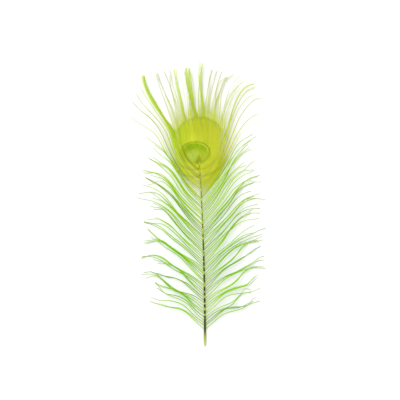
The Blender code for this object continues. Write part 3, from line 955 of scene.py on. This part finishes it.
def crown_colour(node):
    ring, pupil, lobe, tone, weight, fringe = [
        node("Attribute", {"attribute_name": name})
        for name in ("ring", "pupil", "lobe", "tone", "weight", "fringe")
    ]
    where = node("TexCoord", {})
    x, y = [node("SeparateXYZ", {}, where, output=axis) for axis in "XY"]
    # Stretches of the feather, by the places in mm where each begins and is full
    left, high, above, below, low, foot, to_right = [
        node("MapRange", {}, axis, first * MM, last * MM)
        for axis, first, last in (
            (x, -10, -30), (y, 196, 210), (y, 179.5, 184.5), (y, 177, 169), (y, 205, 185),
            (y, 176, 158), (x, -14, 1),
        )
    ]

    def band(measure, stops, stretch):
        """How strong a band is, by its measure and within its stretch."""
        shown = node("ValToRGB", stops, measure)
        return node("Math", TIMES, shown, stretch)

    # The disc: patches of dye about 15 mm across, from olive to a brighter yellow
    patches = node("TexNoise", {}, Vector=where, Scale=70.0, Detail=2.0)
    patch = node("MapRange", {}, patches, 0.38, 0.62)
    eye = node("Mix", MIX, patch, "#dae238", "#e2e844")

    # The pupil: two pale lobes under a green crescent, and a bright arc over it, most so on the right
    inside = node("MapRange", {}, pupil, 1.1, 0.9)
    pale = node("MapRange", {}, lobe, 1.1, 0.5, 0, 0.9)
    arc = node("MapRange", {}, x, -12 * MM, 1 * MM, 0.4)
    arc = node("Math", TIMES, arc, above)
    # The notch in its kidney shape: a wedge on the shaft, from between the lobes down
    off = node("Math", {"operation": "ADD"}, x, 6.1 * MM)
    off = node("Math", {"operation": "ABSOLUTE"}, off)
    room = node("MapRange", {}, y, 179.5 * MM, 170 * MM, 0, 4.5 * MM)
    room = node("Math", {"operation": "SUBTRACT"}, room, off)
    notch = node("MapRange", {}, room, -0.2 * MM, 1.2 * MM, 0, 0.75)
    notch = node("Math", TIMES, notch, inside)
    # Below it two faint olive bows, where the rings of the bird's own pattern were
    spread = node("MapRange", {}, pupil, 1.0, 2.4)

    # Laid over the disc: its left side and rim, the pupil, its lobes, crescent, arc and outlines,
    # the notch and the bows
    for mask, code in (
        (left, "#c9e02c"),
        (band(ring, [(0, 0), (0.84, 0), (0.94, 0.8), (1, 0.6)], high), "#c4d420"),
        (inside, "#bccb24"),
        (pale, "#c6dc5a"),
        (band(pupil, [(0, 0.2), (0.25, 0.5), (0.42, 1), (0.78, 1), (0.86, 0)], above), "#a2c200"),
        (band(pupil, [(0, 0), (0.78, 0), (0.84, 1), (0.90, 0)], arc), "#def058"),
        (band(pupil, [(0, 0), (0.88, 0), (0.93, 0.55), (0.97, 0.55), (1, 0.2)], to_right), "#98a408"),
        (band(pupil, [(0, 0), (0.88, 0), (0.93, 0.75), (0.97, 0.6), (1, 0.07)], above), "#98b400"),
        (notch, "#98a80c"),
        (band(spread, [(0, 0), (0.24, 0), (0.33, 0.55), (0.42, 0), (0.66, 0), (0.77, 0.6),
                       (0.86, 0)], below), "#a6b81c"),
    ):
        eye = node("Mix", MIX, mask, eye, code)

    # The crown, from the rim outwards: about 5 half widths of the eye to the tips
    outward = node("MapRange", {}, ring, 0.9, 4.9)
    crown = node("ValToRGB", [
        (0, "#dce650"), (0.1, "#e2ec64"), (0.25, "#e8f082"), (0.5, "#e6eea0"), (0.8, "#d4dab0"),
        (1, "#b8bea4"),
    ], outward)
    lock = node("ValToRGB", [
        (0, "#c4d81c"), (0.3, "#cce634"), (0.7, "#cce65c"), (1, "#b8cc78"),
    ], outward)
    crown = node("Mix", MIX, weight, crown, lock)
    # The rim is sharp at the top and fades out at the sides and the foot, where the vane is greener
    fades = node("MapRange", {}, left, 0, 1, 1.6, 2.3)
    near = node("MapRange", {}, ring, fades, 1.1)
    near = node("Math", TIMES, near, low)
    near = node("Math", {"operation": "MAXIMUM"}, near, foot)
    flank = node("Mix", MIX, left, "#e4ea5c", "#c8e614")
    flank = node("Mix", MIX, foot, flank, "#c8e41c")
    crown = node("Mix", MIX, near, crown, flank)
    rim_end = node("MapRange", {}, low, 0, 1, 1.06, 1.5)
    edge = node("MapRange", {}, ring, 0.98, rim_end)
    vane = node("Mix", MIX, edge, eye, crown)
    end = node("MapRange", {}, fringe, 0.3, 1.0, 0, 0.4)
    end = node("Math", TIMES, end, edge)
    shades = [(0, "#8a9410"), (0.5, "#f2f2e0"), (1, "#ffffff")]
    return dyed(node, vane, tone, shades, 0.85, end, "#f0f6a8")


# %% [markdown]
# A loose barb is yellow-lime by the shaft, lime along its middle and grey-green at its tip, where
# little dye took. Down by the quill the vane is paler than by the eye.

# %% The loose vane's colour
def loose_colour(node):
    along, tone, fringe = [
        node("Attribute", {"attribute_name": name}) for name in ("along", "tone", "fringe")
    ]
    y = node("SeparateXYZ", {}, node("TexCoord", {}), output="Y")
    vane = node("ValToRGB", [
        (0, "#c2ea08"), (0.2, "#b2e404"), (0.5, "#9cdc04"), (0.8, "#a2d81c"), (1, "#b2c86c"),
    ], along)
    for first, last, most, code in ((60, -10, 0.25, "#ccdc70"), (80, 150, 0.45, "#d4e40c")):
        stretch = node("MapRange", {}, y, first * MM, last * MM, 0, most)
        vane = node("Mix", MIX, stretch, vane, code)
    end = node("MapRange", {}, fringe, 0.3, 1.0, 0, 0.2)
    shades = [(0, "#6ea024"), (0.5, "#eaf2d4"), (1, "#ffffff")]
    return dyed(node, vane, tone, shades, 0.8, end, "#dcf030")


# %% [markdown]
# A barbule's surface is smooth horn with a dull gloss, and more than half of the light that meets
# it comes out on the other side. A barb is thicker and darker, with faint cross nodes every half
# millimetre, drawn twice as coarse as they are.

# %% Barbule and barb materials
KERATIN_IOR = 1.55
THROUGH = 0.58  # the share of light that passes a barbule


def barbule_material(name, colour_of):
    made, node = new_material(name)
    colour = colour_of(node)
    gloss = node("BsdfPrincipled", {}, Base_Color=colour, Roughness=0.6,
                 IOR=KERATIN_IOR, Specular_IOR_Level=0.12)
    light = node("BsdfTranslucent", {}, Color=colour)
    both = node("MixShader", {}, THROUGH, gloss, light)
    node("OutputMaterial", {}, Surface=both)
    return made


def barb_material(name, colour_of, core, core_share):
    """The core colour is a ramp from the eye's rim outwards, and shows least in heavy locks."""
    made, node = new_material(name)
    ring, weight = [node("Attribute", {"attribute_name": told}) for told in ("ring", "weight")]
    outward = node("MapRange", {}, ring, 1.0, 4.9)
    core = node("ValToRGB", core, outward)
    share = node("MapRange", {}, ring, 0.95, 1.25, 0, core_share)
    light = node("MapRange", {}, weight, 0, 1, 1.0, 0.35)
    share = node("Math", TIMES, share, light)
    colour = node("Mix", MIX, share, colour_of(node), core)
    where = node("TexCoord", {})
    nodes = node("TexNoise", {}, Vector=where, Scale=1000.0, Detail=1.0)
    relief = node("Bump", {}, Strength=0.4, Distance=0.05 * MM, Height=nodes)
    gloss = node("BsdfPrincipled", {}, Base_Color=colour, Roughness=0.5,
                 IOR=KERATIN_IOR, Specular_IOR_Level=0.15, Normal=relief)
    node("OutputMaterial", {}, Surface=gloss)
    return made


eye_barbule_finish = barbule_material("dyed keratin, barbules of the eye and crown", crown_colour)
loose_barbule_finish = barbule_material("dyed keratin, loose barbules", loose_colour)
eye_barb_finish = barb_material(
    "dyed keratin, barbs of the eye and crown", crown_colour,
    [(0, "#a8b820"), (0.2, "#b0ba4c"), (0.5, "#b2b88c"), (1, "#b0b2a0")], 0.75)
loose_barb_finish = barb_material(
    "dyed keratin, loose barbs", loose_colour, [(0, "#8ab00a"), (0.4, "#76a60c"), (1, "#84aa2c")], 0.8)

# %% [markdown]
# The shaft is thicker horn. Its top took a lot of dye on a brown ground, so it is nearly black in
# dashes below and olive towards the eye, with straw-coloured flanks; the bare quill is straw all
# over. Fine fibres run along it, 0.2 mm apart, which show as a soft streaked gloss.

# %% Shaft material
EYE_LINE_END = 181 * MM  # above this the shaft has the eye's own colours


def shaft_material():
    made, node = new_material("dyed keratin, quill and shaft")
    where = node("TexCoord", {})
    y = node("SeparateXYZ", {}, where, output="Y")
    rise = node("MapRange", {}, y, -QUILL_LENGTH, SHAFT_LENGTH)
    flank = node("ValToRGB", [
        (0, "#cce078"), (0.06, "#cade5c"), (0.3, "#cfe052"), (0.65, "#c2d83a"), (0.75, "#a8b822"),
        (1, "#b4c41c"),
    ], rise)
    stripe = node("ValToRGB", [
        (0, "#bccc70"), (0.045, "#8f9440"), (0.075, "#241f08"), (0.38, "#161604"),
        (0.55, "#4f5818"), (0.72, "#6c7a18"), (0.84, "#76861a"), (1, "#a8b81c"),
    ], rise)
    # Dashes 3 to 8 mm long: noise stretched along the shaft
    drawn = node("Mapping", {}, Vector=where, Scale=(0.2, 1.0, 0.2))
    dashes = node("TexNoise", {}, Vector=drawn, Scale=260.0, Detail=1.0)
    dash = node("MapRange", {}, dashes, 0.51, 0.58, 0, 0.85)
    dashed = node("MapRange", {}, y, 12 * MM, 18 * MM)
    dash = node("Math", TIMES, dash, dashed)
    stripe = node("Mix", MIX, dash, stripe, "#aab846")
    # In the lower part the stripe is as wide as the shaft
    across = node("Attribute", {"attribute_name": "across"})
    off = node("Math", {"operation": "ABSOLUTE"}, across)
    edge = node("MapRange", {}, y, 75 * MM, 110 * MM, 1.15, 0.85)
    middle = node("MapRange", {}, off, edge, 0.6)
    colour = node("Mix", MIX, middle, flank, stripe)
    in_eye = node("MapRange", {}, y, EYE_LINE_END - 5 * MM, EYE_LINE_END)
    colour = node("Mix", MIX, in_eye, colour, crown_colour(node))
    drawn = node("Mapping", {}, Vector=where, Scale=(1.0, 0.04, 1.0))
    fibres = node("TexNoise", {}, Vector=drawn, Scale=5000.0, Detail=2.0)
    streaks = node("MapRange", {}, fibres, 0.3, 0.7, 0.85, 1.05)
    colour = node("Mix", TINT, 1.0, colour, streaks)
    rough = node("MapRange", {}, fibres, 0, 1, 0.28, 0.42)
    relief = node("Bump", {}, Strength=0.35, Distance=0.04 * MM, Height=fibres)
    gloss = node("BsdfPrincipled", {}, Base_Color=colour, Roughness=rough,
                 IOR=KERATIN_IOR, Specular_IOR_Level=0.25, Normal=relief)
    node("OutputMaterial", {}, Surface=gloss)
    return made


shaft_finish = shaft_material()
print("materials:", [m.name for m in bpy.data.materials if m.name.startswith("dyed")])

# %% [markdown]
# ## Putting it together
#
# Every piece rides on the one body, stands for the solid and gets its finish.

# %% Ride, replace and finish
PIECES = [
    (shaft, shaft_finish, "dyed_shaft"),
    (eye_threads, eye_barb_finish, "dyed_barbs"),
    (eye_barbules, eye_barbule_finish, "dyed_barbs"),
    (crown_barbules, eye_barbule_finish, "dyed_barbs"),
    (left_threads, loose_barb_finish, "dyed_barbs"),
    (left_barbules, loose_barbule_finish, "dyed_barbs"),
    (right_threads, loose_barb_finish, "dyed_barbs"),
    (right_barbules, loose_barbule_finish, "dyed_barbs"),
]
for piece, finish, slot in PIECES:
    piece.data.materials.clear()
    piece.data.materials.append(finish)
    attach(piece, "root")
    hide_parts("feather")
print("triangles in all:", sum(len(p.vertices) - 2 for o in PIECES for p in o[0].data.polygons))

# %% [markdown]
# ## Table, light and camera
#
# The feather was photographed from straight above on white, in soft light with hardly a shadow. So
# the table is white card, a bright white world does most of the lighting, and one large soft lamp
# from the upper left gives the barbs a lit side. The camera hangs 1.1 m up with a long lens, and
# its view is 400 mm wide, so that one pixel of a picture 400 pixels wide is 1 mm on the table.

# %% Table
TABLE_SIDE = 4
bpy.ops.object.select_all(action="DESELECT")
bpy.ops.mesh.primitive_plane_add(size=TABLE_SIDE, location=(0, 150 * MM, -0.1 * MM))
table = bpy.context.object
table.name = "table"
card, node = new_material("white card")
grain = node("TexNoise", {}, Vector=node("TexCoord", {}), Scale=900.0)
white = node("Mix", MIX, grain, "#e0e0e0", "#e2e2e2")
matt = node("BsdfPrincipled", {}, Base_Color=white, Roughness=0.9)
node("OutputMaterial", {}, Surface=matt)
table.data.materials.append(card)
table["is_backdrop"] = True

# %% Light
WORLD_STRENGTH = 1.08
LAMP_PLACE, LAMP_SIDE, LAMP_POWER = (-0.55, 0.75, 1.2), 0.9, 13
world = bpy.data.worlds.new("white_studio")
world.use_nodes = True
background = world.node_tree.nodes["Background"].inputs
background["Color"].default_value = (1, 1, 1, 1)
background["Strength"].default_value = WORLD_STRENGTH
bpy.context.scene.world = world
lamp = bpy.data.lights.new("softbox", "AREA")
lamp.shape, lamp.size, lamp.energy = "SQUARE", LAMP_SIDE, LAMP_POWER
softbox = bpy.data.objects.new("softbox", lamp)
softbox.location = LAMP_PLACE
bpy.context.scene.collection.objects.link(softbox)
softbox.rotation_mode = "QUATERNION"
to_feather = Vector((0, 130 * MM, 0)) - softbox.location
softbox.rotation_quaternion = to_feather.to_track_quat("-Z", "Y")
bpy.context.scene.view_settings.view_transform = "Standard"

# %% Camera
VIEW_WIDTH = 400 * MM
VIEW_CENTRE = (-5 * MM, 133 * MM)
LENS, SENSOR = 100, 36  # millimetres
view = bpy.data.cameras.new("above")
view.lens, view.sensor_width = LENS, SENSOR
view.clip_start, view.clip_end = 0.05, 10
above = bpy.data.objects.new("above", view)
above.location = (*VIEW_CENTRE, VIEW_WIDTH * LENS / SENSOR)
bpy.context.scene.collection.objects.link(above)
bpy.context.scene.camera = above
print("camera height:", round(above.location.z, 3), "m")

# %% [markdown]
# ## Sizes, solid and dressed
#
# The boxes of the solid and of the dressed feather are kept side by side: dressing it must not
# change its size.

# %% Sizes of the solid and the dressed feather
bpy.context.view_layer.update()
sizes = {"solid": [list(c) for c in solid_box], "dressed": [list(c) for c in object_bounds()]}
for name, (low, high) in sizes.items():
    print(name, [round((b - a) / MM, 1) for a, b in zip(low, high)], "mm")
